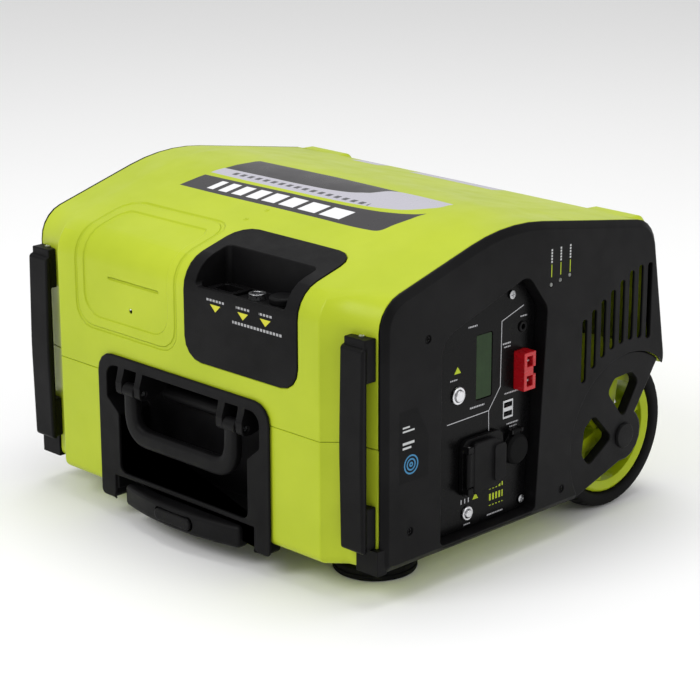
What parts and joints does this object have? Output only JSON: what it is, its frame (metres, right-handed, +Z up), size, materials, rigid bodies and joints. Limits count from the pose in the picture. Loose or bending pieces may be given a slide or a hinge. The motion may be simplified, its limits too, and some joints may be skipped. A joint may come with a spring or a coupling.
{
  "type": "portable power generator",
  "caption": "Wheeled portable power generator box with lime shells, black side panels, control recess, charging pocket, swinging carry handle and pull-out trolley grip.",
  "frame": {"origin": "centre of the footprint at ground level", "axes": "+Z up, -Y the front end with the trolley grip, +X the control side, wheels at +Y"},
  "size_m": [0.486, 0.4612, 0.3269],
  "materials": {
    "lime_plastic": "satin",
    "black_plastic": "fine grain",
    "fascia_plastic": "semi gloss",
    "soft_rubber": "matte",
    "tyre_rubber": "matte",
    "zinc_steel": "satin",
    "cap_chrome": "polished",
    "bare_aluminium": "satin",
    "red_plastic": "semi gloss",
    "display_lens": "gloss",
    "clear_lens": "gloss",
    "wrapped_cells": "blue wrap, density stands in for a cell pack"
  },
  "bodies": {
    "generator_body": {"upper_shell": "lime_plastic", "lower_shell": "lime_plastic", "control_side_panel": "black_plastic", "fan_side_panel": "black_plastic", "control_fascia": "fascia_plastic", "fascia_screw_1": "zinc_steel", "fascia_screw_2": "zinc_steel", "lcd_window": "display_lens", "display_button_bezel": "cap_chrome", "power_button_bezel": "cap_chrome", "ac_outlet": "black_plastic", "ac_lid_pin": "zinc_steel", "dc12_socket": "fascia_plastic", "usb_ports": "zinc_steel", "power_connector": "red_plastic", "dc_port": "fascia_plastic", "status_light_bar": "clear_lens", "handle_panel": "black_plastic", "carry_handle_pin_right": "zinc_steel", "carry_handle_pin_left": "zinc_steel", "trolley_sleeve_right": "black_plastic", "trolley_sleeve_left": "black_plastic", "cord_rail_right": "black_plastic", "cord_rail_left": "black_plastic", "charging_panel": "black_plastic", "charging_ac_inlet": "fascia_plastic", "charging_dc_inlet": "zinc_steel", "charging_solar_inlet": "fascia_plastic", "wheel_axle": "zinc_steel", "wheel_carrier_right": "black_plastic", "wheel_carrier_left": "black_plastic", "axle_cap_right": "black_plastic", "axle_cap_left": "black_plastic", "front_foot_right": "soft_rubber", "front_foot_left": "soft_rubber", "chassis_tray": "bare_aluminium", "battery_pack": "wrapped_cells", "inverter_module": "bare_aluminium", "cooling_fan_frame": "black_plastic"},
    "wheel_right": {"wheel_rim_right": "lime_plastic", "tyre_right": "tyre_rubber"},
    "wheel_left": {"wheel_rim_left": "lime_plastic", "tyre_left": "tyre_rubber"},
    "trolley_handle": {"trolley_grip": "black_plastic", "trolley_tube_right": "bare_aluminium", "trolley_tube_left": "bare_aluminium"},
    "trolley_release": {"trolley_release_button": "fascia_plastic"},
    "carry_handle": {"carry_handle": "black_plastic"},
    "display_button": {"display_button": "cap_chrome"},
    "power_button": {"power_button": "cap_chrome"},
    "ac_lid": {"ac_outlet_lid": "black_plastic"},
    "dc12_cap": {"dc12_cap": "soft_rubber"},
    "charging_cap": {"charging_inlet_cap": "black_plastic"},
    "fan_rotor": {"cooling_fan_rotor": "fascia_plastic"}
  },
  "joints": [
    {"name": "wheel_right_spin", "type": "hinge", "parent": "generator_body", "child": "wheel_right", "pos_m": [0.204, 0.1519, 0.0787], "axis": [1, 0, 0], "continuous": true},
    {"name": "wheel_left_spin", "type": "hinge", "parent": "generator_body", "child": "wheel_left", "pos_m": [-0.204, 0.1519, 0.0787], "axis": [1, 0, 0], "continuous": true},
    {"name": "trolley_slide", "type": "slide", "parent": "generator_body", "child": "trolley_handle", "axis": [0, -1, 0], "range_m": [0, 0.3]},
    {"name": "trolley_release_press", "type": "slide", "parent": "trolley_handle", "child": "trolley_release", "axis": [0, 1, 0], "range_m": [0, 0.003], "stiffness_N_per_m": 400},
    {"name": "carry_handle_swing", "type": "hinge", "parent": "generator_body", "child": "carry_handle", "pos_m": [0, -0.2141, 0.138], "axis": [-1, 0, 0], "range_deg": [0, 105]},
    {"name": "display_button_press", "type": "slide", "parent": "generator_body", "child": "display_button", "axis": [-1, 0, 0], "range_m": [0, 0.0015], "stiffness_N_per_m": 300},
    {"name": "power_button_press", "type": "slide", "parent": "generator_body", "child": "power_button", "axis": [-1, 0, 0], "range_m": [0, 0.0015], "stiffness_N_per_m": 300},
    {"name": "ac_lid_hinge", "type": "hinge", "parent": "generator_body", "child": "ac_lid", "pos_m": [0.2384, -0.0744, 0.0996], "axis": [0, 0, -1], "range_deg": [0, 110], "stiffness_Nm_per_rad": 0.01},
    {"name": "dc12_cap_hinge", "type": "hinge", "parent": "generator_body", "child": "dc12_cap", "pos_m": [0.2354, -0.0048, 0.1209], "axis": [0, -1, 0], "range_deg": [0, 120]},
    {"name": "charging_cap_lift", "type": "slide", "parent": "generator_body", "child": "charging_cap", "axis": [0, 0, 1], "range_m": [0, 0.06]},
    {"name": "fan_spin", "type": "hinge", "parent": "generator_body", "child": "fan_rotor", "pos_m": [-0.2075, -0.0441, 0.14], "axis": [1, 0, 0], "continuous": true}
  ]
}
